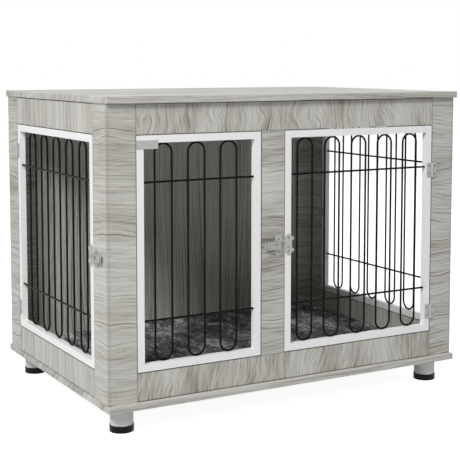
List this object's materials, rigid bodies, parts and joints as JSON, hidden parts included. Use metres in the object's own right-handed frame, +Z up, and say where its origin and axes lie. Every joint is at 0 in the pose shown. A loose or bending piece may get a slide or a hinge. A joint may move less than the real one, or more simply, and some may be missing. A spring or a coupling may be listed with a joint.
{
  "type": "dog crate end table",
  "caption": "Wooden side table that is also a dog crate: wire grille windows and hinged wire doors with toggle latches, a plush floor mat, round metal feet.",
  "frame": {"origin": "on the floor, under the middle of the table top", "axes": "+X to the right along the front, +Y from the front to the back, +Z up"},
  "size_m": [0.8076, 0.5516, 0.6195],
  "materials": {
    "grey_wood": "printed light grey oak laminate",
    "dowel_wood": "bare",
    "white_frame": "satin white powder coat",
    "black_wire": "gloss black coat",
    "zinc": "bright zinc plate",
    "foot_rubber": "moulded black, half gloss",
    "grey_plush": "soft plush"
  },
  "bodies": {
    "cabinet": {"back_left_stile": "grey_wood", "back_panel": "grey_wood", "back_right_stile": "grey_wood", "base_board": "grey_wood", "base_board_screws": "zinc", "blank_plate": "zinc", "feet": "zinc", "floor_mat": "grey_plush", "foot_caps": "foot_rubber", "foot_screws": "zinc", "front_bottom_rail": "grey_wood", "front_center_post": "grey_wood", "front_door_hinge_pins": "zinc", "front_door_stile_leaves": "zinc", "front_latch_base_plate": "zinc", "front_left_stile": "grey_wood", "front_right_stile": "grey_wood", "front_top_rail": "grey_wood", "front_window_frame": "white_frame", "front_window_grille": "black_wire", "hinge_stile_screws": "zinc", "latch_base_screws": "zinc", "latch_pins": "zinc", "left_side_bottom_rail": "grey_wood", "left_side_front_stile": "grey_wood", "left_side_rear_stile": "grey_wood", "left_side_top_rail": "grey_wood", "right_side_bottom_rail": "grey_wood", "right_side_front_stile": "grey_wood", "right_side_rear_stile": "grey_wood", "right_side_top_rail": "grey_wood", "right_window_frame": "white_frame", "right_window_grille": "black_wire", "side_door_hinge_pins": "zinc", "side_door_stile_leaves": "zinc", "side_latch_base_plate": "zinc", "top_board": "grey_wood", "top_board_dowels": "dowel_wood", "window_clip_screws": "zinc", "window_clips": "zinc"},
    "front_door": {"front_door_door_leaves": "zinc", "front_door_door_screws": "zinc", "front_door_frame": "white_frame", "front_door_grille": "black_wire", "front_latch_catch": "zinc", "front_latch_catch_screws": "zinc"},
    "side_door": {"side_door_door_leaves": "zinc", "side_door_door_screws": "zinc", "side_door_frame": "white_frame", "side_door_grille": "black_wire", "side_latch_catch": "zinc", "side_latch_catch_screws": "zinc"},
    "front_latch_lever": {"front_latch_lever": "zinc"},
    "front_latch_bail": {"front_latch_bail": "zinc"},
    "side_latch_lever": {"side_latch_lever": "zinc"},
    "side_latch_bail": {"side_latch_bail": "zinc"}
  },
  "joints": [
    {"name": "front_door_hinge", "type": "hinge", "parent": "cabinet", "child": "front_door", "pos_m": [0.33975, -0.2695, 0.331], "axis": [0, 0, 1], "range_deg": [0, 170]},
    {"name": "side_door_hinge", "type": "hinge", "parent": "cabinet", "child": "side_door", "pos_m": [-0.4005, 0.20775, 0.331], "axis": [0, 0, -1], "range_deg": [0, 170]},
    {"name": "front_latch_lever_pivot", "type": "hinge", "parent": "cabinet", "child": "front_latch_lever", "pos_m": [-0.0375, -0.2714, 0.326], "axis": [0, 0, 1], "range_deg": [0, 140]},
    {"name": "front_latch_bail_pivot", "type": "hinge", "parent": "front_latch_lever", "child": "front_latch_bail", "pos_m": [-0.041, -0.2744, 0.326], "axis": [0, 0, 1], "range_deg": [0, 30]},
    {"name": "side_latch_lever_pivot", "type": "hinge", "parent": "cabinet", "child": "side_latch_lever", "pos_m": [-0.4024, -0.218, 0.326], "axis": [0, 0, -1], "range_deg": [0, 140]},
    {"name": "side_latch_bail_pivot", "type": "hinge", "parent": "side_latch_lever", "child": "side_latch_bail", "pos_m": [-0.4054, -0.2215, 0.326], "axis": [0, 0, -1], "range_deg": [0, 30]}
  ],
  "couplings": [
    {"joint": "front_latch_bail_pivot", "follows": "front_latch_lever_pivot", "ratio": 0.2},
    {"joint": "side_latch_bail_pivot", "follows": "side_latch_lever_pivot", "ratio": 0.2}
  ]
}
